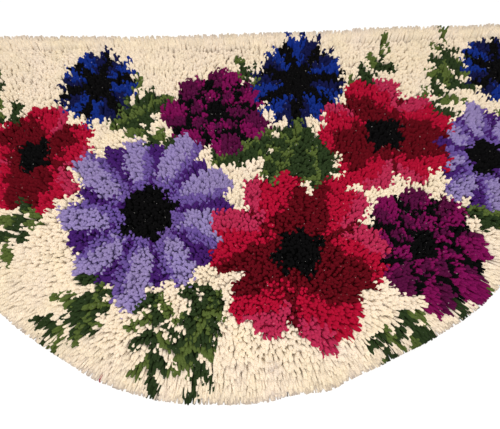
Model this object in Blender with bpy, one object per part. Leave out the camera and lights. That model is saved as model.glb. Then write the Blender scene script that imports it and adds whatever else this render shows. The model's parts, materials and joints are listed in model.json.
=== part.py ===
"""A half-moon hearth rug: wool pile knotted through a flat cotton canvas.

Metres, +Z up. The rug lies on the floor at z = 0. Its straight edge runs along X on the
+Y side and its curve bulges towards -Y. The origin is on the floor, under the middle of
the rug's bounding box.
"""

import math

import bmesh
import bpy
from mathutils import Vector, noise

# Driving sizes of the whole rug, to the tips of the wool.
HALF_LENGTH = 0.545
DEPTH = 0.582
PILE_TOP = 0.0215

# The canvas is turned under at its edge and lies flat. The wool hides it from above.
CANVAS_THICK = 0.002
CANVAS_INSET = 0.024
CANVAS_EDGES = 112
CLEARANCE = 0.0003

# The pile is one slab, whose shoulder leans out past the canvas.
COLUMNS = 72
ROWS = 36
SHOULDER_WIDTH = 0.040
BROAD_SWELL = 0.0016
BROAD_PITCH = 0.130
TUFT_SWELL = 0.0040
TUFT_PITCH = 0.030

# Each section of the slab's side, from the top down: how far in from the wool's tips, and
# how high above the floor. The first is the border of the slab's top.
SIDE_SECTIONS = (
    {"inset": 0.0130, "height": 0.0140},
    {"inset": 0.0100, "height": 0.0055},
    {"inset": 0.0210, "height": CANVAS_THICK + CLEARANCE},
)

# A lock of wool stands out from each face between the first two sections.
LOCK_REACH = 0.0100
LOCK_REACH_SPREAD = 0.0028
LOCK_TIP_WIDTH = 0.56
LOCK_TIP_HEIGHT = 0.52
LOCK_DROOP = 0.0034
LOCK_SIDE_LEAN = 0.0030
LOCK_PITCH = 0.013
LEAN_DRAW = Vector((0.0, 0.0, 9.0))

# The edge's wander fades with this power of the distance from the middle of the rug.
WANDER_FADE = 3

# How far the curve lies outside a true half ellipse, in millimetres. The angle is counted
# from the right-hand end of the straight edge, round the curve to the left-hand end.
CURVE_WANDER = (
    {"angle": 0, "out": 0.0},
    {"angle": 42, "out": 1.0},
    {"angle": 51, "out": 6.0},
    {"angle": 56, "out": 2.5},
    {"angle": 61, "out": -1.5},
    {"angle": 68, "out": -5.5},
    {"angle": 74, "out": -4.0},
    {"angle": 79, "out": -1.0},
    {"angle": 83, "out": -2.5},
    {"angle": 88, "out": 1.5},
    {"angle": 95, "out": 1.5},
    {"angle": 101, "out": 6.0},
    {"angle": 109, "out": 5.5},
    {"angle": 113, "out": 0.0},
    {"angle": 122, "out": -3.5},
    {"angle": 127, "out": -4.5},
    {"angle": 138, "out": -1.0},
    {"angle": 180, "out": 0.0},
)

# How far the straight edge lies outside a true line, in millimetres, along its length.
STRAIGHT_WANDER = (
    {"along": -545, "out": 0.0},
    {"along": -460, "out": 4.5},
    {"along": -384, "out": 6.0},
    {"along": -302, "out": 2.0},
    {"along": -221, "out": -0.8},
    {"along": -139, "out": -3.2},
    {"along": -58, "out": -3.7},
    {"along": 65, "out": -3.0},
    {"along": 147, "out": -1.8},
    {"along": 231, "out": 1.9},
    {"along": 314, "out": 3.5},
    {"along": 398, "out": 1.5},
    {"along": 440, "out": 3.5},
    {"along": 545, "out": 0.0},
)

CANVAS_COLOUR = (0.62, 0.54, 0.40, 1.0)
WOOL_COLOUR = (0.80, 0.70, 0.52, 1.0)
CLOTH_ROUGHNESS = 0.95
SHARP_ANGLE = 50


def clear_scene():
    for obj in list(bpy.data.objects):
        bpy.data.objects.remove(obj, do_unlink=True)


def cloth_material(name, colour):
    material = bpy.data.materials.new(name)
    material.use_nodes = True
    shader = material.node_tree.nodes["Principled BSDF"]
    shader.inputs["Base Color"].default_value = colour
    shader.inputs["Roughness"].default_value = CLOTH_ROUGHNESS
    shader.inputs["Metallic"].default_value = 0.0
    return material


def smooth_step(share):
    share = min(max(share, 0.0), 1.0)
    return share * share * (3.0 - 2.0 * share)


def wander(table, key, place):
    """The table's outward shift at this place, in metres, eased between its rows."""
    for before, after in zip(table, table[1:]):
        if place <= after[key]:
            share = (place - before[key]) / (after[key] - before[key])
            out = before["out"] + (after["out"] - before["out"]) * smooth_step(share)
            return out / 1000
    return table[-1]["out"] / 1000


def unit_half_disc(u, v):
    """A place on a unit half disc for u in -1..1 along its length and v in 0..1 across."""
    x = u * math.sqrt(1.0 - v * v / 2.0)
    y = -v * math.sqrt(1.0 - u * u / 2.0)
    return x, y


def on_rug(u, v, inset):
    """A place on the rug drawn in by an inset, with the straight edge along y = 0."""
    x, y = unit_half_disc(u, v)
    radius = math.hypot(x, y)
    angle = math.degrees(math.atan2(-y, x)) if radius > 0 else 90.0
    curve_out = wander(CURVE_WANDER, "angle", angle) * radius**WANDER_FADE
    length = HALF_LENGTH - inset + curve_out
    depth = DEPTH - 2 * inset + curve_out
    place = Vector((x * length, y * depth - inset))
    straight_out = wander(STRAIGHT_WANDER, "along", place.x * 1000)
    place.y += straight_out * (1.0 + y) ** WANDER_FADE
    return place


def pile_height(place, top_inset):
    """The slab's top: level wool with soft lumps, falling away at the shoulder."""
    ellipse = math.hypot(place.x / HALF_LENGTH, place.y / DEPTH)
    from_rim = min(-place.y, (1.0 - ellipse) * HALF_LENGTH) - top_inset
    rim = SIDE_SECTIONS[0]["height"]
    level = rim + (PILE_TOP - rim) * math.sqrt(smooth_step(from_rim / SHOULDER_WIDTH))
    flat_place = Vector((place.x, place.y, 0.0))
    broad = noise.noise(flat_place / BROAD_PITCH) * BROAD_SWELL
    tuft = noise.noise(flat_place / TUFT_PITCH) * TUFT_SWELL
    return level + broad + tuft


def add_top(mesh):
    """The slab's top, a grid bent to the half-moon. It returns the loop of border edges."""
    bmesh.ops.create_grid(mesh, x_segments=COLUMNS, y_segments=ROWS, size=1.0)
    inset = SIDE_SECTIONS[0]["inset"]
    for vert in mesh.verts:
        place = on_rug(vert.co.x, (1.0 - vert.co.y) / 2.0, inset)
        vert.co = (place.x, place.y, pile_height(place, inset))
    return [edge for edge in mesh.edges if edge.is_boundary]


def add_side(mesh, border):
    """The side, one band of faces for each further section, and the flat underside."""
    bands = []
    middle = Vector((0.0, -DEPTH / 2))
    for above, section in zip(SIDE_SECTIONS, SIDE_SECTIONS[1:]):
        made = bmesh.ops.extrude_edge_only(mesh, edges=border)["geom"]
        verts = [item for item in made if isinstance(item, bmesh.types.BMVert)]
        shift = above["inset"] - section["inset"]
        for vert in verts:
            outward = (vert.co.xy - middle).normalized()
            flat = vert.co.xy + outward * shift
            vert.co = (flat.x, flat.y, section["height"])
        border = [item for item in made if isinstance(item, bmesh.types.BMEdge)]
        border = [edge for edge in border if edge.is_boundary]
        bands.append([item for item in made if isinstance(item, bmesh.types.BMFace)])
    bmesh.ops.contextual_create(mesh, geom=border)
    return bands


def add_locks(mesh, faces):
    """A tapered lock of wool on each face of the side's upper band."""
    made = bmesh.ops.extrude_discrete_faces(mesh, faces=faces)["faces"]
    for face in made:
        centre = face.calc_center_median()
        outward = face.normal.copy()
        outward.z = 0.0
        outward.normalize()
        along = outward.cross(Vector((0.0, 0.0, 1.0)))
        draw = centre / LOCK_PITCH
        reach = LOCK_REACH + noise.noise(draw) * LOCK_REACH_SPREAD
        lean = noise.noise(draw + LEAN_DRAW) * LOCK_SIDE_LEAN
        tip = centre + outward * reach + along * lean - Vector((0.0, 0.0, LOCK_DROOP))
        for vert in face.verts:
            from_centre = vert.co - centre
            across = along * from_centre.dot(along) * LOCK_TIP_WIDTH
            upright = Vector((0.0, 0.0, from_centre.z * LOCK_TIP_HEIGHT))
            vert.co = tip + across + upright


def make_pile(collection):
    mesh = bmesh.new()
    border = add_top(mesh)
    bands = add_side(mesh, border)
    bmesh.ops.recalc_face_normals(mesh, faces=mesh.faces)
    add_locks(mesh, bands[0])
    bmesh.ops.recalc_face_normals(mesh, faces=mesh.faces)
    data = bpy.data.meshes.new("pile")
    mesh.to_mesh(data)
    mesh.free()
    data.shade_smooth()
    data.set_sharp_from_angle(angle=math.radians(SHARP_ANGLE))
    data.materials.append(cloth_material("wool", WOOL_COLOUR))
    pile = bpy.data.objects.new("pile", data)
    collection.objects.link(pile)
    return pile


def canvas_outline():
    """The canvas's edge, once round the half-moon from the left end of its straight edge."""
    shares = [step / (CANVAS_EDGES // 4) for step in range(CANVAS_EDGES // 4)]
    across = [(2 * share - 1, 0.0) for share in shares]
    right = [(1.0, share) for share in shares]
    back = [(1 - 2 * share, 1.0) for share in shares]
    left = [(-1.0, 1 - share) for share in shares]
    return [on_rug(u, v, CANVAS_INSET) for u, v in across + right + back + left]


def make_foundation(collection):
    """The canvas, a flat outline filled on both sides and given its thickness."""
    outline = canvas_outline()
    data = bpy.data.curves.new("foundation", "CURVE")
    data.dimensions = "2D"
    data.fill_mode = "BOTH"
    data.extrude = CANVAS_THICK / 2
    spline = data.splines.new("POLY")
    spline.points.add(len(outline) - 1)
    for point, place in zip(spline.points, outline):
        point.co = (place.x, place.y, 0.0, 1.0)
    spline.use_cyclic_u = True
    data.materials.append(cloth_material("canvas", CANVAS_COLOUR))
    foundation = bpy.data.objects.new("foundation", data)
    foundation.location.z = CANVAS_THICK / 2
    collection.objects.link(foundation)
    return foundation


def centre_on_floor(pile, foundation):
    """Puts both pieces on an empty over which the rug's bounding box is centred."""
    xs = [vert.co.x for vert in pile.data.vertices]
    ys = [vert.co.y for vert in pile.data.vertices]
    rug = bpy.data.objects.new("rug_origin", None)
    rug.location = (-(min(xs) + max(xs)) / 2, -(min(ys) + max(ys)) / 2, 0.0)
    pile.users_collection[0].objects.link(rug)
    for piece in (pile, foundation):
        piece.parent = rug


def main():
    clear_scene()
    collection = bpy.data.collections.new("hooked_rug")
    bpy.context.scene.collection.children.link(collection)
    pile = make_pile(collection)
    foundation = make_foundation(collection)
    centre_on_floor(pile, foundation)


main()
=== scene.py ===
# %% [markdown]
# # A half-moon hooked rug
# This rug is made on stiff cotton canvas with ten holes in every three inches. A short
# length of wool is knotted through each hole with a latch hook, so that its two cut ends
# stand up. Row by row the ends crowd together into a deep pile, and the picture is simply
# which ball of wool each knot came from. The lesson builds it the same way: a chart of
# stitches, one strand of wool repeated thousands of times, and a canvas under it all.
#
# The first cell opens the measured model. Everything else is placed by it.

# %% Open the measured model
import json
import math
import random

import bmesh
import bpy
import numpy as np
from mathutils import Euler, Matrix, Quaternion, Vector
from mathutils.bvhtree import BVHTree

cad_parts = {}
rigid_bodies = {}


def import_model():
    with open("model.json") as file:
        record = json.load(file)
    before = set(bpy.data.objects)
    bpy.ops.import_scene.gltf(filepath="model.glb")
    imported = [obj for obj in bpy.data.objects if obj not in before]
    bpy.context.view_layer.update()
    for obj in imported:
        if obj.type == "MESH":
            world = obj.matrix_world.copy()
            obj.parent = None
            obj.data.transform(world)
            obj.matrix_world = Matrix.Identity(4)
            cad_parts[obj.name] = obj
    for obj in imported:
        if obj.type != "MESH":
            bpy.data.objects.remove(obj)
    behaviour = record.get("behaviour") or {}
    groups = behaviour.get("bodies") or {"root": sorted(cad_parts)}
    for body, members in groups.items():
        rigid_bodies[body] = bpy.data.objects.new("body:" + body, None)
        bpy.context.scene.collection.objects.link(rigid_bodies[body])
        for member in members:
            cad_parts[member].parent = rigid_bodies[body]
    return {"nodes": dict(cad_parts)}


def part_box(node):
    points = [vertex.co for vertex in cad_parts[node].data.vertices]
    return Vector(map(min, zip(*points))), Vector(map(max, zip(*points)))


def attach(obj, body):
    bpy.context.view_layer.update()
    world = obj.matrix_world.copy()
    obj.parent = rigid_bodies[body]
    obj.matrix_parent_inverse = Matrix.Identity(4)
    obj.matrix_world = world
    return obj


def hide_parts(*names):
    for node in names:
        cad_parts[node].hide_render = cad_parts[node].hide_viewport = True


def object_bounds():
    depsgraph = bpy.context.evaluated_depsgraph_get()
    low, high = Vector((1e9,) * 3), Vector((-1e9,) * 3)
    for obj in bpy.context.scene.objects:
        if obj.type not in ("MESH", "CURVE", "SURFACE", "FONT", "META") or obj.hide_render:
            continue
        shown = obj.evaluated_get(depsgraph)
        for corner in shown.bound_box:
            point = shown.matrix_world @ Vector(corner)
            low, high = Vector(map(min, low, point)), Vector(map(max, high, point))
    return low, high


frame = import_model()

cad_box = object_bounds()
cad_low, cad_high = cad_box
print("the measured rug spans", [round(side, 3) for side in cad_high - cad_low])

# %% [markdown]
# ## The camera
# The photograph looks down on the rug from the side of its curve, steeply but not quite
# from above. Its columns of stitches draw together towards the top, and that tells how near
# the camera was. A camera could be aimed with a constraint, but three plain turns are easier
# to reason about: tip it up from straight down, turn it a little to the right, and roll it.

# %% Where the camera stands
MM = 0.001
EDGE_PROUD = 5.5 * MM
straight_edge_y = cad_high.y - EDGE_PROUD

CAMERA_RIGHT = 2.5 * MM
CAMERA_FROM_EDGE = 512 * MM
CAMERA_HEIGHT = 574 * MM
CAMERA_ELEVATION = math.radians(72.1)
CAMERA_HEADING = math.radians(3.37)
CAMERA_ROLL = math.radians(1.25)
FOCAL_PIXELS = 400
FRAME_WIDTH_PIXELS = 500
SENSOR_WIDTH = 36

camera_data = bpy.data.cameras.new("photo_camera")
camera_data.sensor_width = SENSOR_WIDTH
camera_data.lens = SENSOR_WIDTH * FOCAL_PIXELS / FRAME_WIDTH_PIXELS
camera = bpy.data.objects.new("photo_camera", camera_data)
bpy.context.scene.collection.objects.link(camera)
tip_up = Matrix.Rotation(math.pi / 2 - CAMERA_ELEVATION, 4, "X")
turn_right = Matrix.Rotation(-CAMERA_HEADING, 4, "Z")
roll = Matrix.Rotation(CAMERA_ROLL, 4, "Z")
stand = Vector((CAMERA_RIGHT, straight_edge_y - CAMERA_FROM_EDGE, CAMERA_HEIGHT))
camera.matrix_world = Matrix.Translation(stand) @ turn_right @ tip_up @ roll
bpy.context.scene.camera = camera
print("lens", round(camera_data.lens, 1), "mm, stands at", [round(c, 3) for c in stand])

# %% [markdown]
# ## Floor and light
# The floor is pale and plain, and the light is soft. In the photograph the wool hardly
# shades itself, so most of the light must have come from the camera's own side, where every
# gap that the camera sees into is lit too. A soft lamp above the camera does that, a wide one
# beyond the straight edge gives the tufts a little shape, and the sky fills in the rest.

# %% Floor
FLOOR_SIZE = 9.0
FLOOR_DROP = 0.2 * MM
FLOOR_FINISH = {"Base Color": (0.93, 0.93, 0.925, 1.0), "Roughness": 0.9}


def feed(tree, node, feeds):
    """Feeds a node's inputs: a socket is linked to them, and any other value is set."""
    for name, value in feeds.items():
        if isinstance(value, bpy.types.NodeSocket):
            tree.links.new(value, node.inputs[name])
        else:
            node.inputs[name].default_value = value


def new_material(name):
    """A new material, with its node tree and the shader at the tree's end."""
    material = bpy.data.materials.new(name)
    material.use_nodes = True
    return material, material.node_tree, material.node_tree.nodes["Principled BSDF"]


bpy.ops.mesh.primitive_plane_add(size=FLOOR_SIZE, location=(0, 0, -FLOOR_DROP))
floor = bpy.context.object
floor.name = "floor"
floor_material, floor_tree, floor_shader = new_material("pale floor")
feed(floor_tree, floor_shader, FLOOR_FINISH)
floor.data.materials.append(floor_material)
print("floor", FLOOR_SIZE, "m across")

# %% Light
SKY = {"Color": (1.0, 0.985, 0.965, 1.0), "Strength": 0.56}
LAMPS = (
    {"name": "above_camera", "x": 0.0, "y": -0.62, "z": 1.75, "size": 0.9, "watts": 25},
    {"name": "beyond_edge", "x": -0.4, "y": 1.2, "z": 2.1, "size": 1.8, "watts": 7},
)

world = bpy.data.worlds.new("soft room")
world.use_nodes = True
feed(world.node_tree, world.node_tree.nodes["Background"], SKY)
bpy.context.scene.world = world
bpy.context.scene.view_settings.view_transform = "Standard"
for row in LAMPS:
    lamp_data = bpy.data.lights.new(row["name"], "AREA")
    lamp_data.shape = "DISK"
    lamp_data.size = row["size"]
    lamp_data.energy = row["watts"]
    lamp = bpy.data.objects.new(row["name"], lamp_data)
    lamp.location = (row["x"], row["y"], row["z"])
    lamp.rotation_euler = (-lamp.location).to_track_quat("-Z", "Y").to_euler()
    bpy.context.scene.collection.objects.link(lamp)
print("lamps:", [row["name"] for row in LAMPS])

# %% [markdown]
# ## The canvas's outline
# Every knot needs a hole in the canvas, so the first question is where the canvas ends. The
# outline could be drawn again here, but then it could drift from the measured one. It is
# read from the model instead: the canvas is flat, so the corners of its edge, sorted by
# their angle round the middle, are its outline.

# %% Read the outline
def outline_of(node):
    places = {(round(v.co.x, 5), round(v.co.y, 5)) for v in node.data.vertices}
    middle = np.mean(list(places), axis=0)
    turned = sorted(places, key=lambda p: math.atan2(p[1] - middle[1], p[0] - middle[0]))
    return np.array(turned)


canvas_outline = outline_of(frame["nodes"]["foundation"])
canvas_low, canvas_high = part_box("foundation")

# %% How far inside the edge a place is
def from_edge(places, outline):
    """The distance in from the outline, and the direction to its nearest point outwards."""
    side = np.roll(outline, -1, axis=0) - outline
    reach = places[:, None, :] - outline[None, :, :]
    share = np.clip((reach * side).sum(2) / (side**2).sum(1), 0.0, 1.0)
    gap = reach - share[..., None] * side
    distance = np.linalg.norm(gap, axis=2)
    nearest = distance.argmin(axis=1)
    every = np.arange(len(places))
    turn = side[nearest, 0] * reach[every, nearest, 1] - side[nearest, 1] * reach[every, nearest, 0]
    inside = np.where(turn > 0, 1.0, -1.0)
    outward = -gap[every, nearest] / np.maximum(distance[every, nearest], 1e-9)[:, None]
    return distance[every, nearest] * inside, outward * inside[:, None]


middle_inward = from_edge(np.zeros((1, 2)), canvas_outline)[0][0]
print("the middle of the rug is", round(middle_inward / MM), "mm in from the canvas's edge")

# %% [markdown]
# ## The chart: drawing a flower by a rule
# A rug maker's chart is squared paper with one wool for each square. This chart isn't a
# picture but a set of rules, each a small function that is asked "which wool is at this
# place?". Places are polar, with rho as the share of the flower's size and an angle round
# it. A petal is then an angle range, and its edge is a curve of rho. The flowers are plain
# garden kinds, in a free arrangement. Each rule is tried at once on a small square of signs.

# %% Helpers for petals
TRIAL = {"heart": "@", "light": "-", "middle": "+", "shade": "#", "petals": 6, "turn": 0.0}
TRIAL_STEPS = np.linspace(-1, 1, 13)


def ripple(angle, *waves):
    """Adds up sine waves round a flower. Each wave is its count, size and shift."""
    return sum(size * math.sin(count * angle + shift) for count, size, shift in waves)


def petal_at(angle, count):
    """Which petal an angle falls in, and how far across that petal, from -1 to 1."""
    share = (angle / (2 * math.pi) * count) % count
    return int(share), (share - int(share)) * 2 - 1


def ring_petal_at(angle, ring, count):
    """The same for one ring of a double flower, turned by a share of a petal."""
    return petal_at(angle + ring["turn"] * 2 * math.pi / count, count)


def try_flower(rule):
    for y in TRIAL_STEPS:
        polar = [(math.hypot(x, y), math.atan2(y, x) % (2 * math.pi)) for x in TRIAL_STEPS]
        print("".join(rule(rho, angle, TRIAL) or "." for rho, angle in polar))


print("a trial is", len(TRIAL_STEPS), "signs square")

# %% A dog rose: broad notched petals that lap over one another
ROSE_HEART = 0.27
ROSE_THROAT = 0.42
ROSE_CORNER = 0.30
ROSE_NOTCH = {"deep": 0.10, "wide": 0.16}
ROSE_SEAM = {"across": 0.90, "beyond": 0.30}
ROSE_FOLD = {"across": 0.8, "middle": 0.62, "rise": 1.5, "light": 0.50, "shade": -0.14}


def dog_rose(rho, angle, row):
    index, across = petal_at(angle, row["petals"])
    notch = ROSE_NOTCH["deep"] * math.exp(-((across / ROSE_NOTCH["wide"]) ** 2))
    edge = 1.0 - ROSE_CORNER * abs(across) ** 3 - notch
    edge += ripple(angle, (3, 0.035, 1.0 + row["turn"]), (11, 0.03, 0.4))
    if rho > edge:
        return None
    if rho < ROSE_HEART + ripple(angle, (7, 0.03, 0.3), (4, 0.03, 1.1)):
        return row["heart"]
    seam = abs(across) > ROSE_SEAM["across"] and rho > ROSE_SEAM["beyond"]
    if seam or rho < ROSE_THROAT + ripple(angle, (row["petals"] * 4, 0.10, index * 1.7)):
        return row["shade"]
    lapped = ROSE_FOLD["across"] if index % 2 else -ROSE_FOLD["across"]
    fold = across * lapped + (rho - ROSE_FOLD["middle"]) * ROSE_FOLD["rise"]
    fold += ripple(angle, (13, 0.10, index * 1.3), (5, 0.12, 2.0))
    if fold > ROSE_FOLD["light"]:
        return row["light"]
    return row["shade"] if fold < ROSE_FOLD["shade"] else row["middle"]


try_flower(dog_rose)

# %% An aster: two rings of petals, the hidden ring in a deeper wool
ASTER_RINGS = ({"turn": 0.0, "reach": 1.0}, {"turn": 0.5, "reach": 0.88})
ASTER_HEART = 0.32
ASTER_THROAT = 0.44
ASTER_PETAL = {"middle": 0.50, "half": 0.53, "wide": 0.82, "lit_from": -0.28}


def aster(rho, angle, row):
    if rho < ASTER_HEART + ripple(angle, (9, 0.03, 0.2), (5, 0.025, 1.4)):
        return row["heart"]
    for layer, ring in enumerate(ASTER_RINGS):
        index, across = ring_petal_at(angle, ring, row["petals"])
        long = ring["reach"] * (1.0 + 0.07 * math.sin(index * 2.4 + layer))
        along = (rho - ASTER_PETAL["middle"] * long) / (ASTER_PETAL["half"] * long)
        if abs(across) < ASTER_PETAL["wide"] * math.sqrt(max(0.0, 1.0 - along**2)):
            if layer:
                return row["shade"]
            dim = across < ASTER_PETAL["lit_from"] or rho < ASTER_THROAT
            return row["middle"] if dim else row["light"]
    return None


try_flower(aster)

# %% A dahlia: two rings of scallops, the outer petals over the gaps of the inner
DAHLIA_RINGS = ({"turn": 0.0, "reach": 0.62}, {"turn": 0.5, "reach": 1.00})
DAHLIA_HEART = 0.24
DAHLIA_SCALLOP = 0.20
DAHLIA_RIM = 0.10
DAHLIA_SEAM = 0.80


def dahlia(rho, angle, row):
    if rho < DAHLIA_HEART + ripple(angle, (6, 0.03, 0.9)):
        return row["heart"]
    for layer, ring in enumerate(DAHLIA_RINGS):
        index, across = ring_petal_at(angle, ring, row["petals"])
        edge = ring["reach"] * (1.0 - DAHLIA_SCALLOP * across**2 + 0.03 * math.sin(index * 2.2))
        if rho < edge:
            inner_rim = rho > edge - DAHLIA_RIM and not layer
            if inner_rim or abs(across) > DAHLIA_SEAM:
                return row["shade"]
            lit = across < 0.5 * math.sin(index * 1.9 + layer)
            return row["light"] if lit else row["middle"]
    return None


try_flower(dahlia)

# %% A cornflower: petals that flare and are toothed at the tip
CORNFLOWER_HEART = 0.34
CORNFLOWER_CUP = 0.78
CORNFLOWER_FLARE = {"root": 0.45, "more": 0.52, "seam": 0.16, "lit_from": -0.05}
CORNFLOWER_TEETH = {"deep": 0.20, "rate": 1.5}


def cornflower(rho, angle, row):
    index, across = petal_at(angle, row["petals"])
    flare = CORNFLOWER_FLARE["root"] + CORNFLOWER_FLARE["more"] * rho
    tooth = CORNFLOWER_TEETH["deep"] * abs(math.sin(across * math.pi * CORNFLOWER_TEETH["rate"]))
    edge = 1.0 - tooth + 0.06 * math.sin(index * 2.1)
    if rho < CORNFLOWER_HEART + ripple(angle, (8, 0.05, 0.7)):
        return row["heart"]
    if rho > edge or abs(across) > flare:
        return row["shade"] if rho < CORNFLOWER_CUP else None
    if abs(across) > flare - CORNFLOWER_FLARE["seam"]:
        return row["shade"]
    lit_side = 1 if index % 2 else -1
    lit = across * lit_side > CORNFLOWER_FLARE["lit_from"]
    return row["light"] if lit else row["middle"]


try_flower(cornflower)

# %% [markdown]
# ## The chart: leaves
# A leaf is a stretch along a line, with a width that swells and closes again. A sine does
# that, and a second, quicker sine gives it teeth. A sprig is a short curved stem with such
# leaves in pairs. Olive wool marks the rib and patches of the sunny half, dark green does
# the rest.

# %% Leaves
RIB_HALF_WIDTH = 4.5
LEAF_SHOULDER = 0.8
TEETH = {"rate": 0.26, "level": 0.86, "deep": 0.18}
SUNNY_TEETH = {"shift": 1.2, "over": 0.6}


def turned_place(x, y, row):
    """How far a place is along a leaf's or sprig's line, and how far to its left side."""
    to = math.radians(row["to"])
    dx, dy = x - row["x"], y - row["y"]
    return dx * math.cos(to) + dy * math.sin(to), dy * math.cos(to) - dx * math.sin(to)


def leaf_at(x, y, row):
    run, side = turned_place(x, y, row)
    along = run / row["long"]
    if not 0.0 <= along <= 1.0:
        return None
    teeth = along * row["long"] * TEETH["rate"]
    swell = math.sin(math.pi * along**LEAF_SHOULDER)
    wide = row["wide"] * swell * (TEETH["level"] + TEETH["deep"] * math.sin(teeth))
    if abs(side) > wide:
        return None
    sunny = side > 0 and math.sin(teeth + SUNNY_TEETH["shift"]) > SUNNY_TEETH["over"]
    return "olive" if abs(side) < RIB_HALF_WIDTH or sunny else "green"


trial_leaf = {"x": 0, "y": 0, "to": 0, "long": 100, "wide": 30}
print("across a leaf:", [leaf_at(50, y, trial_leaf) for y in (-30, -15, 0, 15, 30)])

# %% Sprigs
STEM_HALF_WIDTH = 3.8
SPRIG_BOW = 0.16
PAIR_TURNS = (-50, 46)
PAIR_CLOSING = 14
LEAFLET_HALF_WIDTH = 0.19
LEAFLET_SHRINK = 0.25


def sprig_at(x, y, row):
    stem, side = turned_place(x, y, row)
    if math.hypot(stem, side) > row["long"] + row["leaf"]:
        return None
    bow = SPRIG_BOW * stem**2 / row["long"]
    if 0 <= stem <= row["long"] and abs(side - bow) < STEM_HALF_WIDTH:
        return "green"
    for pair in range(row["pairs"], -1, -1):
        share = pair / row["pairs"]
        root = row["long"] * share
        leaf = {"x": root, "y": SPRIG_BOW * root * share}
        leaf["long"] = row["leaf"] * (1.0 - LEAFLET_SHRINK * share)
        leaf["wide"] = row["leaf"] * LEAFLET_HALF_WIDTH
        for turn in (0,) if pair == row["pairs"] else PAIR_TURNS:
            leaf["to"] = turn + PAIR_CLOSING * share
            if leaf_at(stem, side, leaf):
                return "olive" if (turn > 0) == (pair % 2 == 0) else "green"
    return None


trial_sprig = {"x": 0, "y": 0, "to": 0, "long": 100, "pairs": 3, "leaf": 50}
print("across a sprig:", [sprig_at(50, y, trial_sprig) for y in (-40, -20, 0, 20, 40)])

# %% [markdown]
# ## The chart: the arrangement
# Each flower is one row: where its middle is, in millimetres from the middle of the rug's
# straight edge, its size and its wools. Later rows lie over earlier ones, so the two largest
# flowers come last. Leaves lie under all of them.

# %% The flower table
RED = ("black", "rose", "crimson", "wine")
LILAC = ("black", "lavender", "violet", "purple")
BERRY = ("black", "magenta", "plum", "black")
BLUE = ("black", "blue", "navy", "black")


def table(columns, *rows):
    """Rows whose values can be asked for by the names of their columns."""
    return [dict(zip(columns.split(), row)) for row in rows]


FLOWERS = table(
    "rule x y size petals turn heart light middle shade",
    (cornflower, -226, -106, 72, 6, 0.2, *BLUE),
    (cornflower, 440, -98, 70, 6, 0.6, *BLUE),
    (dahlia, -34, -160, 84, 7, 0.5, *BERRY),
    (dog_rose, -312, -228, 90, 5, 0.9, *RED),
    (aster, 376, -250, 86, 8, 0.4, *LILAC),
    (cornflower, 104, -108, 86, 7, 0.1, *BLUE),
    (dahlia, 262, -386, 88, 8, 0.0, *BERRY),
    (dog_rose, 228, -208, 104, 5, 2.3, *RED),
    (aster, -136, -322, 126, 9, 0.0, *LILAC),
    (dog_rose, 82, -388, 128, 6, 0.35, *RED),
)
print(len(FLOWERS), "flowers")

# %% The leaf tables
BROAD_LEAVES = table(
    "x y to long wide",
    (40, -300, 62, 150, 40),
    (120, -300, 98, 120, 34),
    (-40, -250, 30, 110, 30),
    (-200, -180, 28, 110, 24),
    (330, -330, 350, 110, 26),
    (-30, -440, 232, 110, 26),
    (-190, -420, 248, 90, 24),
)
SPRIGS = table(
    "x y to long pairs leaf",
    (-350, -180, 148, 128, 4, 56),
    (-370, -262, 186, 118, 4, 52),
    (-300, -300, 232, 140, 5, 52),
    (-150, -150, 122, 84, 3, 44),
    (24, -140, 96, 74, 3, 36),
    (196, -140, 52, 96, 3, 48),
    (300, -170, 38, 122, 4, 52),
    (410, -200, 16, 100, 3, 46),
    (350, -322, 326, 124, 4, 52),
    (296, -440, 308, 96, 3, 46),
    (-48, -430, 250, 116, 4, 50),
    (-190, -420, 214, 100, 3, 46),
    (176, -490, 282, 76, 3, 38),
    (-110, -238, 118, 78, 3, 44),
    (-392, -120, 108, 62, 3, 34),
    (210, -470, 300, 70, 3, 40),
    (-120, -440, 262, 92, 4, 44),
    (330, -120, 64, 84, 3, 44),
)
print(len(BROAD_LEAVES), "broad leaves and", len(SPRIGS), "sprigs")

# %% Ask the chart
def wool_at(x, y):
    """The wool of the knot at this place on the rug, in millimetres."""
    for row in reversed(FLOWERS):
        dx, dy = x - row["x"], y - row["y"]
        angle = (math.atan2(dy, dx) - row["turn"]) % (2 * math.pi)
        found = row["rule"](math.hypot(dx, dy) / row["size"], angle, row)
        if found:
            return found
    leaves = (leaf_at(x, y, row) for row in BROAD_LEAVES)
    sprigs = (sprig_at(x, y, row) for row in SPRIGS)
    return next(filter(None, leaves), None) or next(filter(None, sprigs), None) or "cream"


print("from left to right:", [wool_at(x, -300) for x in range(-400, 401, 200)])

# %% [markdown]
# ## Setting out the knots
# The canvas fixes the grid: one knot in each hole, 7.62 mm apart along a row and a little
# more from row to row, because the knots push the rows open. Every hole inside the outline
# gets a knot, and the chart says its wool. Squares alone would leave the curve in steps, so
# a maker works the last rows through the fold of the canvas, closer together, and their
# wool hides the edge.

# %% One knot for each hole in the canvas
STITCH = 7.62 * MM
ROW = 7.95 * MM
FIRST_ROW = 0.3
FIELD_MARGIN = 8.0 * MM

across_count = int((canvas_high.x - canvas_low.x) / STITCH / 2) + 1
down_count = int((canvas_high.y - canvas_low.y) / ROW) + 2
grid = np.array(
    [
        (column * STITCH, canvas_high.y - (row + FIRST_ROW) * ROW)
        for row in range(down_count)
        for column in range(-across_count, across_count + 1)
    ]
)
field = grid[from_edge(grid, canvas_outline)[0] > FIELD_MARGIN]
print(len(field), "knots in the field")

# %% Two rows of knots along the fold of the canvas
FOLD_PITCH = 4.0 * MM
FOLD_INSETS = (0.8 * MM, 4.6 * MM)


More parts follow.
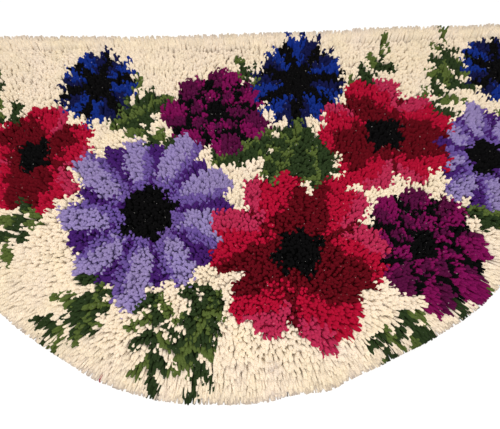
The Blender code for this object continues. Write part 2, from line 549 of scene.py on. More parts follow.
def places_along(outline, pitch, inset):
    """Evenly spaced places along an outline, drawn in from it."""
    closed = np.vstack((outline, outline[:1]))
    side = np.diff(closed, axis=0)
    length = np.linalg.norm(side, axis=1)
    run = np.concatenate(([0.0], np.cumsum(length)))
    stops = np.arange(int(run[-1] / pitch)) * pitch
    places = np.column_stack([np.interp(stops, run, closed[:, axis]) for axis in (0, 1)])
    which = np.searchsorted(run, stops, side="right") - 1
    along = side[which] / length[which, None]
    return places + np.column_stack((-along[:, 1], along[:, 0])) * inset


fold = [places_along(canvas_outline, FOLD_PITCH, inset) for inset in FOLD_INSETS]
knots = np.vstack((field, *fold))
inward = from_edge(knots, canvas_outline)[0]
wools = [wool_at(x / MM, (y - straight_edge_y) / MM) for x, y in knots]
print(len(knots), "knots in", len(set(wools)), "wools")

# %% [markdown]
# ## How the pile lies
# Wool never stands quite straight. Feet and brushing lay it over in patches. At the rim
# nothing holds the outer knots up, so they lean out over the canvas's edge and hide it. On
# the curve they lie far over, row behind row, and their ends are worn. Along the straight
# edge only the last rows lean, and some of their strands are held up by the rest. So the
# rim has two tables, blended by which way outwards is, and at the two corners the strands
# fan round from one edge to the other.
#
# A lean is kept as a flat vector: its direction says where the tip goes, and its length is
# the angle from upright. Turns about two axes could say the same, but vectors add up.

# %% The lean of the rim: degrees at the edge, and millimetres over which it fades inwards
# The last value tints the outermost tips, part dust and part painted shade where the pile rolls over
# the edge.
CURVE_RIM = {"lean": 74, "width": 26, "loose": 0.34, "worn": 1.0, "dust_and_shade": 0.88}
STRAIGHT_RIM = {"lean": 36, "width": 9, "loose": 0.55, "worn": 0.4, "dust_and_shade": 0.62}
STRAIGHT_OUTWARD = (0.5, 0.95)
RIM_FADE = 1.7
FAN_STEPS = 8
FAN_REACH = 14 * MM


def fanned_outward(places, outline):
    """The outward direction, turned bit by bit where the outline has a corner."""
    turns = np.arange(FAN_STEPS) * 2 * math.pi / FAN_STEPS
    steps = np.column_stack((np.cos(turns), np.sin(turns))) * FAN_REACH
    total = sum(from_edge(places + step, outline)[1] for step in steps)
    return total / np.maximum(np.linalg.norm(total, axis=1), 1e-9)[:, None]


def rim_value(key):
    """A value of the rim's two tables for each knot, blended by which way outwards is."""
    return np.interp(outward[:, 1], STRAIGHT_OUTWARD, (CURVE_RIM[key], STRAIGHT_RIM[key]))


outward = fanned_outward(knots, canvas_outline)
rim_share = np.exp(-((inward / MM / rim_value("width")) ** RIM_FADE))
rim_lean = np.radians(rim_value("lean")) * rim_share
print((rim_share > 0.5).sum(), "knots lean out")

# %% The lean of the field: a slow drift, and a few patches that were brushed over
PATCH_LEAN = math.radians(15)
PATCH_PITCH = 85 * MM
PATCH_WAVES = (((1.7, 1.1, 0.0), (0.6, -2.3, 1.3)), ((-1.9, 1.3, 0.7), (2.1, 0.8, 2.9)))
BRUSHED = table(
    "x y reach to lean",
    (-330, -380, 120, 232, 30),
    (-200, -490, 90, 250, 24),
    (-20, -540, 90, 268, 30),
    (110, -540, 90, 285, 28),
    (300, -480, 90, 320, 16),
    (-300, -40, 90, 60, 14),
)


def patch_lean(x, y):
    """A slow drift of the pile's lay over the rug, in radians along X and Y."""
    a, b = x / PATCH_PITCH, y / PATCH_PITCH
    drift = [sum(math.sin(i * a + j * b + shift) for i, j, shift in axis) for axis in PATCH_WAVES]
    return np.array(drift) * PATCH_LEAN / 2


def nearness(row, x, y):
    """How near a place is to a table row's place: 1 there, fading over the row's reach."""
    far = math.hypot(x / MM - row["x"], (y - straight_edge_y) / MM - row["y"])
    return math.exp(-((far / row["reach"]) ** 2))


def brushed_lean(x, y):
    lean = np.zeros(2)
    for row in BRUSHED:
        to = math.radians(row["to"])
        share = math.radians(row["lean"]) * nearness(row, x, y)
        lean += share * np.array((math.cos(to), math.sin(to)))
    return lean


free_lean = np.array([patch_lean(x, y) + brushed_lean(x, y) for x, y in knots])
lean = free_lean * (1 - rim_share)[:, None] + outward * rim_lean[:, None]
print("mean lean", round(math.degrees(np.linalg.norm(lean, axis=1).mean()), 1), "degrees")

# %% [markdown]
# ## One strand of wool
# Rug wool is loosely spun, so a cut end opens into strands. A strand is a soft little
# column: thin where the knot grips it, widest near its tip, and blunt where it was cut. It
# could be a curve with a bevel, but a curve gives far more faces than a thing repeated
# thousands of times can have. So it is drawn up ring by ring from a pentagon, its cut end
# has a rounded edge, and smooth shading does the rest. A UV map called strand runs once
# round it and once along it, for the material to twist the fibres by. Three strands with
# different bends keep the pile from looking stamped, and a fourth, worn thin, is for the
# rim. The knot itself is a small pad, which covers its hole and shows as a bar at the back.

# %% Close a chain of rings into a mesh
def skin_rings(rings):
    """A closed mesh over a chain of rings of places: a cap at each end and quads between."""
    mesh = bmesh.new()
    chain = [[mesh.verts.new(place) for place in ring] for ring in rings]
    mesh.faces.new(chain[0])
    mesh.faces.new(chain[-1])
    for ring, after in zip(chain, chain[1:]):
        for index, corner in enumerate(ring):
            mesh.faces.new((ring[index - 1], corner, after[index], after[index - 1]))
    bmesh.ops.recalc_face_normals(mesh, faces=mesh.faces)
    return mesh


def to_data(name, mesh):
    """Moves a mesh that is being worked on into plain mesh data."""
    data = bpy.data.meshes.new(name)
    mesh.to_mesh(data)
    mesh.free()
    return data


def count_triangles(data):
    return sum(len(face.vertices) - 2 for face in data.polygons)


# %% The yarn box: the strands, with rings as shares of their length and girth
CUT_RINGS = table(
    "along girth",
    (0.00, 0.66),
    (0.82, 0.96),
    (1.00, 0.60),
)
WORN_RINGS = table(
    "along girth",
    (0.00, 0.80),
    (0.75, 1.00),
    (1.00, 0.68),
)
STRANDS = table(
    "name rings sides bend turn",
    ("b_strand_plain", CUT_RINGS, 5, 0.3, 0.0),
    ("c_strand_bent", CUT_RINGS, 5, 0.8, 2.1),
    ("d_strand_curled", CUT_RINGS, 5, 1.2, 4.0),
    ("e_strand_worn", WORN_RINGS, 4, 0.5, 1.0),
)


def wrap_strand_map(mesh):
    """Lays the strand map: u once round, v from the root at 0 to the tip at 1."""
    strand = mesh.loops.layers.uv.new("strand")
    for face in mesh.faces:
        middle = face.calc_center_median()
        home = math.atan2(middle.y, middle.x)
        for loop in face.loops:
            corner = loop.vert.co
            turn = math.atan2(corner.y, corner.x) - home
            turn = (turn + math.pi) % (2 * math.pi) - math.pi
            loop[strand].uv = ((home + turn) / (2 * math.pi), corner.z)


def wool_strand(row):
    turns = [2 * math.pi * side / row["sides"] for side in range(row["sides"])]
    circle = [(math.cos(turn), math.sin(turn)) for turn in turns]
    rings = [(ring["girth"], ring["along"]) for ring in row["rings"]]
    mesh = skin_rings([[(girth * x, girth * y, along) for x, y in circle] for girth, along in rings])
    wrap_strand_map(mesh)
    for vert in mesh.verts:
        bend = row["bend"] * vert.co.z**2
        vert.co.x += bend * math.cos(row["turn"])
        vert.co.y += bend * math.sin(row["turn"])
    return mesh


def put_in_box(name, mesh):
    data = to_data(name, mesh)
    data.shade_smooth()
    made = bpy.data.objects.new(name, data)
    made.hide_render = True
    yarn_box.objects.link(made)
    print(name, "has", count_triangles(data), "triangles")


yarn_box = bpy.data.collections.new("yarn box")
bpy.context.scene.collection.children.link(yarn_box)
for row in STRANDS:
    put_in_box(row["name"], wool_strand(row))

# %% The yarn box: the pad of a knot
PAD_BACK = (0.76, 0.50)


def knot_pad():
    mesh = bmesh.new()
    bmesh.ops.create_cube(mesh, size=1.0)
    mesh.loops.layers.uv.new("strand")
    for vert in mesh.verts:
        vert.co.z += 0.5
        if vert.co.z < 0.5:
            vert.co.x *= PAD_BACK[0]
            vert.co.y *= PAD_BACK[1]
    return mesh


put_in_box("a_knot", knot_pad())

# %% [markdown]
# ## Hooking the pile with Geometry Nodes
# Thousands of copies are what Geometry Nodes are for. The tree takes a mesh that is only
# points, one for each strand and one for each knot, and puts the right piece of yarn on
# each. The points carry their own kind, lean and size, so the tree stays small. After
# Realize Instances, a slow noise kinks each strand, more towards its tip. The noise has a
# fourth coordinate, the strand's own tone, so that two neighbours never kink alike.

# %% The tree and its inputs
TREE_INPUTS = {
    "Knots": "NodeSocketGeometry",
    "Cut yarn": "NodeSocketCollection",
    "Kink": "NodeSocketFloat",
    "Kink pitch": "NodeSocketFloat",
    "Seed": "NodeSocketFloat",
    "Wool": "NodeSocketMaterial",
}


def node_adder(tree):
    """A short way to add a node to this tree: its kind, what feeds it and its settings."""

    def add(kind, feeds=(), **settings):
        made = tree.nodes.new(kind)
        for name, value in settings.items():
            setattr(made, name, value)
        feed(tree, made, dict(feeds))
        return made

    return add


def maths(add, operation, *values, **settings):
    feeds = enumerate(values)
    return add("ShaderNodeMath", feeds, operation=operation, **settings).outputs["Value"]


tree = bpy.data.node_groups.new("hook the pile", "GeometryNodeTree")
for name, kind in TREE_INPUTS.items():
    tree.interface.new_socket(name, in_out="INPUT", socket_type=kind)
tree.interface.new_socket("Pile", in_out="OUTPUT", socket_type="NodeSocketGeometry")
hooking = node_adder(tree)
given = hooking("NodeGroupInput").outputs
print("inputs:", list(TREE_INPUTS))

# %% Hook a piece of yarn on each point
def named(attribute, data_type):
    made = hooking("GeometryNodeInputNamedAttribute", {"Name": attribute}, data_type=data_type)
    return made.outputs["Attribute"]


feeds = {"Collection": given["Cut yarn"], "Separate Children": True, "Reset Children": True}
yarn = hooking("GeometryNodeCollectionInfo", feeds)
turned = hooking("FunctionNodeEulerToRotation", {"Euler": named("lean", "FLOAT_VECTOR")})
feeds = {
    "Points": given["Knots"],
    "Pick Instance": True,
    "Instance": yarn.outputs["Instances"],
    "Instance Index": named("kind", "INT"),
    "Rotation": turned.outputs["Rotation"],
    "Scale": named("size", "FLOAT_VECTOR"),
}
hooked = hooking("GeometryNodeInstanceOnPoints", feeds)
pile = hooking("GeometryNodeRealizeInstances", {"Geometry": hooked.outputs["Instances"]})
print("so far", len(tree.nodes), "nodes")

# %% Kink the strands and dye them
KINK_DRAW = 40.0
KINK_CENTRE = (0.5, 0.5, 0.5)

own = maths(hooking, "MULTIPLY", named("tone", "FLOAT"), KINK_DRAW)
feeds = {
    "Vector": hooking("GeometryNodeInputPosition").outputs["Position"],
    "W": maths(hooking, "ADD", own, given["Seed"]),
    "Scale": maths(hooking, "DIVIDE", 1.0, given["Kink pitch"]),
    "Detail": 1.0,
}
kinks = hooking("ShaderNodeTexNoise", feeds, noise_dimensions="4D").outputs["Color"]
kinks = hooking("ShaderNodeVectorMath", {0: kinks, 1: KINK_CENTRE}, operation="SUBTRACT")
along = hooking("ShaderNodeSeparateXYZ", {"Vector": named("strand", "FLOAT_VECTOR")}).outputs["Y"]
feeds = {"Vector": kinks.outputs["Vector"], "Scale": maths(hooking, "MULTIPLY", along, given["Kink"])}
push = hooking("ShaderNodeVectorMath", feeds, operation="SCALE")
feeds = {"Geometry": pile.outputs["Geometry"], "Offset": push.outputs["Vector"]}
kinked = hooking("GeometryNodeSetPosition", feeds)
feeds = {"Geometry": kinked.outputs["Geometry"], "Material": given["Wool"]}
dyed = hooking("GeometryNodeSetMaterial", feeds)
hooking("NodeGroupOutput", {"Pile": dyed.outputs["Geometry"]})
print("the tree has", len(tree.nodes), "nodes")

# %% [markdown]
# ## Wool
# Rug wool is matt, soft and never one flat colour. Its material starts from the dye, which
# is painted deeper towards the roots than at the cut tips: painted shade in the gaps. The
# cream goes the other way, with roots painted paler than its tips as painted light in the
# gaps. The dye is then varied by the strand's own tone, a slow fading and warming over the
# rug, a fine fleck for the fibres and painted shade in the grooves between the plies. On the
# rim's tips a tint that is part dust and part painted shade darkens it, and a few specks of
# lint lie on top. Fuzz scatters light, so a deep pile looks more evenly lit than its strands
# are. Hairs would be far too many, so the normals are lifted towards the sky instead, less
# and less on sides that face down. Sheen gives the bloom that fibres have at a glancing angle.

# %% The dyes: the colour of each wool's tip, and the power that turns it into the root's, as painted shade in the gaps (painted light for the cream)
WOOL_DYES = table(
    "name tip root",
    # A root power above 1 deepens the roots as painted shade in the gaps; the cream's 0.70 makes its
    # roots paler, as painted light there.
    ("cream", (0.914, 0.762, 0.567), 0.70),
    ("crimson", (0.410, 0.003, 0.029), 1.10),
    ("rose", (0.460, 0.023, 0.078), 1.10),
    ("wine", (0.114, 0.001, 0.006), 1.08),
    ("lavender", (0.292, 0.225, 0.450), 1.20),
    ("violet", (0.146, 0.085, 0.310), 1.10),
    ("purple", (0.055, 0.012, 0.135), 1.08),
    ("magenta", (0.190, 0.003, 0.076), 1.08),
    ("plum", (0.088, 0.003, 0.042), 1.08),
    ("blue", (0.005, 0.024, 0.205), 1.08),
    ("navy", (0.005, 0.007, 0.055), 1.08),
    ("black", (0.0011, 0.0009, 0.0011), 1.05),
    ("green", (0.023, 0.041, 0.012), 1.08),
    ("olive", (0.090, 0.126, 0.028), 1.08),
)
print(len(WOOL_DYES), "dyes")

# %% Short ways to vary a colour. A Mix node's colours have these places among its sockets
MIX_A = 6
MIX_B = 7
MIX_RESULT = 2


def mixed(add, share, first, second, **settings):
    feeds = {0: share, MIX_A: first, MIX_B: second}
    return add("ShaderNodeMix", feeds, data_type="RGBA", **settings).outputs[MIX_RESULT]


def noise_of(add, place, pitch, detail):
    feeds = {"Vector": place, "Scale": 1 / pitch, "Detail": detail}
    return add("ShaderNodeTexNoise", feeds).outputs["Fac"]


def ranged(add, value, **ends):
    """A value moved to another range. The ends are given as in from_min=0.0."""
    feeds = {name.replace("_", " ").title(): end for name, end in ends.items()}
    return add("ShaderNodeMapRange", {"Value": value, **feeds}, clamp=True).outputs["Result"]


def attribute(add, name):
    return add("ShaderNodeAttribute", attribute_name=name).outputs["Fac"]


print("a noise, a range and a mix are ready")

# %% The wool's colour
FIBRE = {"pitch": 0.9 * MM, "detail": 3.0}
FADE = {"pitch": 60 * MM, "detail": 2.0}
WARMTH = {"pitch": 38 * MM, "detail": 2.0}
LINT = {"pitch": 3.2 * MM, "detail": 1.0}
# Along this share of a strand, the root's painted shade or painted light gives way to the tip's
# colour.
TIP_RANGE = {"from_min": 0.25, "from_max": 0.95}
WARM_RANGE = {"to_min": 0.90, "to_max": 1.12}
TONE_RANGE = {"to_min": 0.93, "to_max": 1.06}
FADE_RANGE = {"to_min": 0.92, "to_max": 1.07}
FLECK_RANGE = {"to_min": 0.88, "to_max": 1.11}
# In the grooves between the plies the colour sinks to this share, as painted shade.
GROOVE_SHADE_RANGE = {"from_min": -1.0, "to_min": 0.86}
LINT_RANGE = {"from_min": 0.745, "from_max": 0.80, "to_max": 0.55}
LINT_COLOUR = (0.60, 0.56, 0.52, 1.0)
# The tint on the rim's tips and the marks: dust and stains, and painted shade where the pile rolls
# over the edge.
SOIL_AND_SHADE_TINT = (0.42, 0.41, 0.50, 1.0)
SOIL_AND_SHADE_POWER = 4


def wool_colour(add, row, place, along, plies):
    tip = (*row["tip"], 1.0)
    # The root's colour is painted shade in the gaps between strands, and for the cream painted light
    # there.
    root = (*[share ** row["root"] for share in row["tip"]], 1.0)
    colour = mixed(add, ranged(add, along, **TIP_RANGE), root, tip)
    warm = ranged(add, noise_of(add, place, **WARMTH), **WARM_RANGE)
    warm = add("ShaderNodeCombineXYZ", {"X": 1.0, "Y": 1.0, "Z": warm}).outputs["Vector"]
    colour = add("ShaderNodeVectorMath", {0: warm, 1: colour}, operation="MULTIPLY")
    shade = ranged(add, attribute(add, "tone"), **TONE_RANGE)
    fade = ranged(add, noise_of(add, place, **FADE), **FADE_RANGE)
    fleck = ranged(add, noise_of(add, place, **FIBRE), **FLECK_RANGE)
    # Painted shade in the grooves between the plies.
    groove_shade = ranged(add, plies, **GROOVE_SHADE_RANGE)
    for change in (fade, fleck, groove_shade):
        shade = maths(add, "MULTIPLY", shade, change)
    feeds = {"Vector": colour.outputs["Vector"], "Scale": shade}
    colour = add("ShaderNodeVectorMath", feeds, operation="SCALE").outputs["Vector"]
    # Towards the tips, the rim's tint of dust and painted shade, and the marks' stains, darken the
    # colour.
    at_tip = maths(add, "POWER", along, SOIL_AND_SHADE_POWER)
    soil = maths(add, "MULTIPLY", attribute(add, "soil"), at_tip)
    colour = mixed(add, soil, colour, SOIL_AND_SHADE_TINT, blend_type="MULTIPLY")
    lint = ranged(add, noise_of(add, place, **LINT), **LINT_RANGE)
    return mixed(add, lint, colour, LINT_COLOUR)


# A full tint of dust and painted shade leaves this share of each colour.
print("full dust leaves", SOIL_AND_SHADE_TINT[:3], "of a dye's red, green and blue")

# %% The wool's relief and its fuzz
PLY_DEPTH = 0.3 * MM
PLY_STRENGTH = 0.5
FUZZ = 1.5


def wool_normal(add, place, along, plies):
    surface = add("ShaderNodeNewGeometry").outputs["Normal"]
    facing = add("ShaderNodeSeparateXYZ", {"Vector": surface}).outputs["Z"]
    upward = maths(add, "ADD", facing, 1.0, use_clamp=True)
    lift = maths(add, "MULTIPLY", maths(add, "MULTIPLY", along, FUZZ), upward)
    lift = add("ShaderNodeCombineXYZ", {"Z": lift}).outputs["Vector"]
    lifted = add("ShaderNodeVectorMath", {0: surface, 1: lift}, operation="ADD").outputs["Vector"]
    soft = add("ShaderNodeVectorMath", {0: lifted}, operation="NORMALIZE").outputs["Vector"]
    relief = maths(add, "ADD", plies, noise_of(add, place, **FIBRE))
    feeds = {"Height": relief, "Normal": soft, "Distance": PLY_DEPTH, "Strength": PLY_STRENGTH}
    return add("ShaderNodeBump", feeds).outputs["Normal"]


print("plies stand out by", PLY_DEPTH / MM, "mm")

# %% Dye the wools
PLY_COUNT = 3
PLY_TURNS = 2.2
WOOL_FINISH = {
    "Roughness": 0.93,
    "Specular IOR Level": 0.10,
    "Sheen Weight": 0.35,
    "Sheen Roughness": 0.5,
}


def wool_material(row):
    material, tree, shader = new_material("wool " + row["name"])
    add = node_adder(tree)
    place = add("ShaderNodeTexCoord").outputs["Object"]
    strand = add("ShaderNodeUVMap", uv_map="strand").outputs["UV"]
    strand = add("ShaderNodeSeparateXYZ", {"Vector": strand}).outputs
    twisted = maths(add, "ADD", strand["X"], maths(add, "MULTIPLY", strand["Y"], PLY_TURNS))
    plies = maths(add, "SINE", maths(add, "MULTIPLY", twisted, 2 * math.pi * PLY_COUNT))
    feeds = {
        "Base Color": wool_colour(add, row, place, strand["Y"], plies),
        "Normal": wool_normal(add, place, strand["Y"], plies),
        "Sheen Tint": (*row["tip"], 1.0),
    }
    feed(tree, shader, {**WOOL_FINISH, **feeds})
    return material


wool_materials = {row["name"]: wool_material(row) for row in WOOL_DYES}
print("dyed", len(wool_materials), "wools")

# %% [markdown]
# ## From chart to pile
# Each knot now becomes five points: its pad, and its two ends of two strands each. The four
# strands are spread over the knot's square, so that no canvas shows between them. The
# length of a strand is worked out from the measured slab: a ray is dropped on it where the
# tip will be, and the strand is made as long as it has to be to reach that height at its
# lean. So the pile keeps the lumps and the falling shoulder of the model. At the rim the
# wool has its full length instead, trimmed even as if with scissors, and left a little
# longer at three places where the photographed edge swells.

# %% The measured pile
slab = frame["nodes"]["pile"].data
slab_tree = BVHTree.FromPolygons([v.co for v in slab.vertices], [p.vertices for p in slab.polygons])


def slab_height(x, y):
    hit = slab_tree.ray_cast(Vector((x, y, 1.0)), Vector((0.0, 0.0, -1.0)))[0]
    return hit.z if hit else None


print("in its middle the pile is", round(slab_height(0.0, 0.0) / MM, 1), "mm high")

# %% Where the wool was left longer, and where it is marked
LONG_WOOL = (
    {"x": -206, "y": -534, "reach": 30, "more": 0.10},
    {"x": -40, "y": -564, "reach": 100, "more": 0.12},
    {"x": 100, "y": -552, "reach": 26, "more": 0.16},
)
MARKS = (
    {"x": 34, "y": -529, "reach": 8, "soil": 0.5},
    {"x": -6, "y": -541, "reach": 6, "soil": 0.4},
)


def longer_at(x, y):
    """How much longer the rim's wool was left here."""
    return sum(row["more"] * nearness(row, x, y) for row in LONG_WOOL)


def soil_and_shade_at(x, y, dust_and_shade):
    """How much the tips are tinted here: the marks' stains, or else the rim's dust and painted shade.
    """
    return max(dust_and_shade, *[row["soil"] * nearness(row, x, y) for row in MARKS])


print(len(LONG_WOOL), "swellings and", len(MARKS), "marks")

# %% One strand
CUT_KINDS = (1, 2, 3)
WORN_KIND = 4
WORN_FROM = 0.55
STRAND_GIRTH = 2.95 * MM
RIM_GIRTH = 0.62
GIRTH_SPREAD = 0.12
OBLONG = 0.14
LONGEST_STRAND = 25.4 * MM
LENGTH_SPREAD = 0.03
RIM_EVEN = 0.6
STEEPEST_COSINE = 0.3
ROOT_DEPTH = 0.6 * MM
RIM_LIFT = 1.6 * MM
EDGE_POWER = 8


def lean_turn(tip_lean, spin):
    """The turn that lays an upright strand over along a flat lean vector."""
    angle = math.hypot(*tip_lean)
    axis = Vector((-tip_lean[1], tip_lean[0], 0.0))
    laid = Quaternion(axis, angle) if angle > 1e-6 else Quaternion()
    return (laid @ Quaternion((0.0, 0.0, 1.0), spin)).to_euler()


def strand_point(place, proud, tip_lean, rim, ways, tone):
    """One strand: where it starts, how it leans and how long it has to be."""
    trimmed = proud * rim**EDGE_POWER
    held_up = 1 - rim * ways["loose"] * draws.random() ** 2
    tip_lean = tip_lean * held_up
    rim = rim * held_up
    angle = tip_lean.length
    reach = tip_lean.normalized() * LONGEST_STRAND * math.sin(angle)
    height = slab_height(*(place + reach))
    long = LONGEST_STRAND
    if height:
        level = height - canvas_high.z
        upright = min(long, level / max(math.cos(angle), STEEPEST_COSINE))
        long = upright * (1 - rim) + long * rim
    long *= 1 + draws.gauss(0, LENGTH_SPREAD * (1 - RIM_EVEN * rim)) + longer_at(*place) * rim
    long -= trimmed * math.sin(angle)
    girth = STRAND_GIRTH * (1 + draws.uniform(-GIRTH_SPREAD, GIRTH_SPREAD))
    worn = rim * ways["worn"]
    girth *= 1 + (RIM_GIRTH - 1) * worn
    return {
        "co": (*place, canvas_high.z - ROOT_DEPTH + RIM_LIFT * rim),
        "kind": WORN_KIND if worn > WORN_FROM else draws.choice(CUT_KINDS),
        "lean": lean_turn(tip_lean, draws.uniform(0, 2 * math.pi)),
        "size": (girth * (1 + OBLONG), girth * (1 - OBLONG), long + ROOT_DEPTH),
        "tone": tone,
        # At the very rim this is part dust and part painted shade; at the marks it is stains.
        "soil": soil_and_shade_at(*place, ways["dust_and_shade"] * rim**EDGE_POWER),
    }


print("at the rim a strand is about", LONGEST_STRAND / MM, "mm long")

# %% One knot
KNOT_SIZE = Vector((8.1, 8.4, 9.0)) * MM
PAD_SEAT = 0.2 * MM
PAD_SPREAD = (0.9, 1.1)
RIM_PAD = 0.55
PAD_LOOK = {"kind": 0, "lean": Euler((0, 0, 0)), "tone": 0.5, "soil": 0.0}
KNOT_SWING = 0.5
END_APART = Vector((1.9 * MM, -0.6 * MM))
STRAND_APART = Vector((0.6 * MM, 3.7 * MM))
PARTING = math.radians(2.0)
OWN_LEAN = math.radians(4.0)
STRAND_LEAN = math.radians(2.5)
TONE_STEP = 0.006


def own_lean(spread):
    return Vector((draws.gauss(0, spread), draws.gauss(0, spread)))


def knot_points(knot, knot_lean, rim, ways):
    """The points of one knot: its pad first, then its four strands."""
    middle, knot_lean = Vector(knot), Vector(knot_lean)
    pad_height = KNOT_SIZE.z * draws.uniform(*PAD_SPREAD) * (1 + (RIM_PAD - 1) * rim)
    pad = {"co": (*middle, draws.uniform(0, PAD_SEAT)), **PAD_LOOK}
    points = [{**pad, "size": (KNOT_SIZE.x, KNOT_SIZE.y, pad_height)}]
    swing = Matrix.Rotation(draws.uniform(-KNOT_SWING, KNOT_SWING), 2)
    for side in (-1, 1):
        apart = swing @ (END_APART * side)
        end_lean = knot_lean + own_lean(OWN_LEAN) + apart.normalized() * PARTING
        tone = draws.random()
        for ply in (-0.5, 0.5):
            place = middle + apart + swing @ (STRAND_APART * ply)
            proud = (place - middle).dot(knot_lean.normalized())
            tip_lean = end_lean + own_lean(STRAND_LEAN)
            own_tone = tone + ply * TONE_STEP
            points.append(strand_point(place, proud, tip_lean, rim, ways, own_tone))
    return points


print("a knot's pad is", round(KNOT_SIZE.x / MM, 1), "mm wide")

# %% Every knot
PILE_SEED = 11

draws = random.Random(PILE_SEED)
rim_values = {key: rim_value(key) for key in ("loose", "worn", "dust_and_shade")}
rim_ways = [dict(zip(rim_values, row)) for row in zip(*rim_values.values())]
points_of = [knot_points(*row) for row in zip(knots, lean, rim_share, rim_ways)]
print(sum(len(points) - 1 for points in points_of), "strands")

# %% [markdown]
# ## One piece for each wool
# The knots of one wool are joined in one piece, which keeps the scene's list short and lets
# each dye have its own material. The cream ground has more faces than one piece should
# hold, so it is parted in three along the rug. Two strays come first: single ends of
# another wool that were caught in the cream.

# %% Two strays
STRAYS = (
    {"x": -184, "y": -528, "wool": "crimson"},
    {"x": 50, "y": -571, "wool": "black"},
)
END_STRANDS = 2

stray_points = {}
for row in STRAYS:
    place = np.array((row["x"] * MM, row["y"] * MM + straight_edge_y))
    nearest = int(np.linalg.norm(knots - place, axis=1).argmin())
    stray_points[row["wool"]] = points_of[nearest][-END_STRANDS:]
    del points_of[nearest][-END_STRANDS:]
print("strays at", [(row["x"], row["y"]) for row in STRAYS])

# %% Sort the points into pieces
CREAM_PARTS = (
    {"name": "cream_left", "up_to": -0.20},
    {"name": "cream_middle", "up_to": 0.20},
    {"name": "cream_right", "up_to": 1.0},
)


def piece_of(wool, x):
    if wool != "cream":
        return wool
    return next(part["name"] for part in CREAM_PARTS if x <= part["up_to"])


piece_points = {wool: list(points) for wool, points in stray_points.items()}
for wool, (x, y), points in zip(wools, knots, points_of):
    piece_points.setdefault(piece_of(wool, x), []).extend(points)
print(len(piece_points), "pieces of pile")

# %% Hook each piece
KINK = 1.8 * MM
KINK_PITCH = 11 * MM
KINK_SEED = 3.0


def set_inputs(modifier, tree, values):
    """Sets a node tree's inputs by their sockets' identifiers."""
    for item in tree.interface.items_tree:
        if item.in_out == "INPUT" and item.name in values:
            modifier[item.identifier] = values[item.name]


def point_mesh(name, points):
    data = bpy.data.meshes.new(name)
    data.from_pydata([point["co"] for point in points], [], [])
    data.attributes.new("kind", "INT", "POINT").data.foreach_set("value", [p["kind"] for p in points])
    for key in ("tone", "soil"):
        data.attributes.new(key, "FLOAT", "POINT").data.foreach_set("value", [p[key] for p in points])
    for key in ("lean", "size"):
        flat = [number for point in points for number in point[key]]
        data.attributes.new(key, "FLOAT_VECTOR", "POINT").data.foreach_set("vector", flat)
    return data


def hook_piece(name, wool, points):
    host = bpy.data.objects.new("points_" + name, point_mesh("points_" + name, points))
    bpy.context.scene.collection.objects.link(host)
    modifier = host.modifiers.new("hooking", "NODES")
    modifier.node_group = tree
    values = {"Cut yarn": yarn_box, "Kink": KINK, "Kink pitch": KINK_PITCH}
    set_inputs(modifier, tree, {**values, "Seed": KINK_SEED, "Wool": wool_materials[wool]})
    graph = bpy.context.evaluated_depsgraph_get()
    data = bpy.data.meshes.new_from_object(host.evaluated_get(graph))
    bpy.data.objects.remove(host)
    for key in ("kind", "lean", "size"):
        if key in data.attributes:
            data.attributes.remove(data.attributes[key])
    data.name = "pile_" + name
    piece = bpy.data.objects.new("pile_" + name, data)
    bpy.context.scene.collection.objects.link(piece)
    return piece


pile_pieces = []
for name, points in sorted(piece_points.items()):
    piece = hook_piece(name, name.split("_")[0], points)
    pile_pieces.append(piece)
    print(f"{piece.name:22s} {count_triangles(piece.data):7d} triangles")

# %% [markdown]
# ## The canvas
# Under the pile lies the canvas, stiff cotton with its threads in pairs. It is one flat
# sheet whose edge is turned under, which makes a band of double thickness all round. That
# band is made by a chain of rings, each the outline again but smaller and at its own height:
# down the edge, in under the hem, and up to the single cloth. The knots' backs show through
# as small coloured bars, which the pads above already are.

# %% Cut the canvas
HEM_WIDTH = 28 * MM
HEM_UNDERSIDE = 0.3 * MM
CLOTH_UNDERSIDE = 0.8 * MM
CANVAS_TOP_DROP = 0.1 * MM
CANVAS_RINGS = (
    {"inward": 0.0, "z": canvas_high.z - CANVAS_TOP_DROP},
    {"inward": 0.0, "z": HEM_UNDERSIDE},
    {"inward": HEM_WIDTH, "z": HEM_UNDERSIDE},
    {"inward": HEM_WIDTH + CLOTH_UNDERSIDE, "z": CLOTH_UNDERSIDE},
)


def canvas_ring(row):
    """The outline made smaller by the same width on every side, at the row's height."""
    low, high = canvas_outline.min(axis=0), canvas_outline.max(axis=0)
    middle, half = (low + high) / 2, (high - low) / 2
    drawn_in = middle + (canvas_outline - middle) * (1 - row["inward"] / half)
    return [(x, y, row["z"]) for x, y in drawn_in]


canvas_data = to_data("canvas", skin_rings([canvas_ring(row) for row in CANVAS_RINGS]))
canvas = bpy.data.objects.new("canvas", canvas_data)
bpy.context.scene.collection.objects.link(canvas)
print("canvas", len(canvas_data.polygons), "faces")

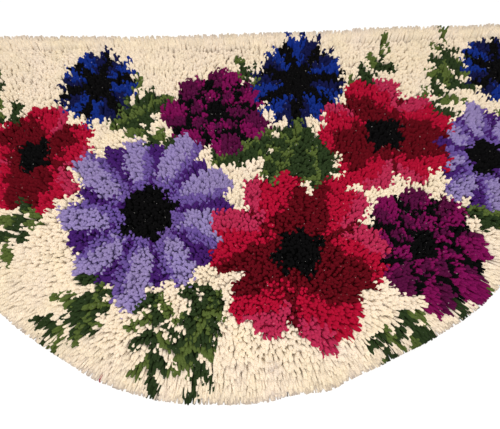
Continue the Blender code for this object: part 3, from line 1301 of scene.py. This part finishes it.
# %% The canvas's weave
THREAD_COLOUR = (0.66, 0.57, 0.42, 1.0)
# The holes between the threads are painted dark, as painted shade inside them.
HOLE_SHADE_COLOUR = (0.20, 0.15, 0.10, 1.0)
COTTON = {"pitch": 0.9 * MM, "detail": 4.0}
COTTON_RANGE = {"to_min": 0.8, "to_max": 1.15}
THREAD_RANGE = {"from_min": -0.4, "from_max": 0.3}
WEAVE_BUMP = {"Distance": 0.6 * MM, "Strength": 0.7}
CANVAS_FINISH = {"Roughness": 0.9, "Specular IOR Level": 0.2}


def thread_wave(add, coordinate, pitch):
    """Rises over each pair of threads and falls to the hole between them."""
    return maths(add, "COSINE", maths(add, "MULTIPLY", coordinate, 2 * math.pi / pitch))


def canvas_material():
    material, tree, shader = new_material("canvas weave")
    add = node_adder(tree)
    place = add("ShaderNodeTexCoord").outputs["Object"]
    axes = add("ShaderNodeSeparateXYZ", {"Vector": place}).outputs
    warp = thread_wave(add, axes["X"], STITCH)
    weft = thread_wave(add, axes["Y"], ROW)
    weave = maths(add, "MAXIMUM", warp, weft)
    fibre = noise_of(add, place, **COTTON)
    solid = ranged(add, weave, **THREAD_RANGE)
    # Between the thread pairs the colour goes to the painted shade of the holes.
    colour = mixed(add, solid, HOLE_SHADE_COLOUR, THREAD_COLOUR)
    feeds = {"Vector": colour, "Scale": ranged(add, fibre, **COTTON_RANGE)}
    colour = add("ShaderNodeVectorMath", feeds, operation="SCALE").outputs["Vector"]
    bump = add("ShaderNodeBump", {"Height": maths(add, "ADD", weave, fibre), **WEAVE_BUMP})
    feeds = {"Base Color": colour, "Normal": bump.outputs["Normal"]}
    feed(tree, shader, {**CANVAS_FINISH, **feeds})
    return material


canvas.data.materials.append(canvas_material())
print("threads repeat every", STITCH / MM, "by", ROW / MM, "mm")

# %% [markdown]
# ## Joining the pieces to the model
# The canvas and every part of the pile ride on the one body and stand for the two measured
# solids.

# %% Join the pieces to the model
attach(canvas, "root")
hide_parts("foundation")
for piece in pile_pieces:
    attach(piece, "root")
    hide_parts("pile")

for helper in list(yarn_box.objects):
    bpy.data.objects.remove(helper)
bpy.data.collections.remove(yarn_box)

# %% Print the measured box
print("measured", [round(c, 4) for corner in cad_box for c in corner])
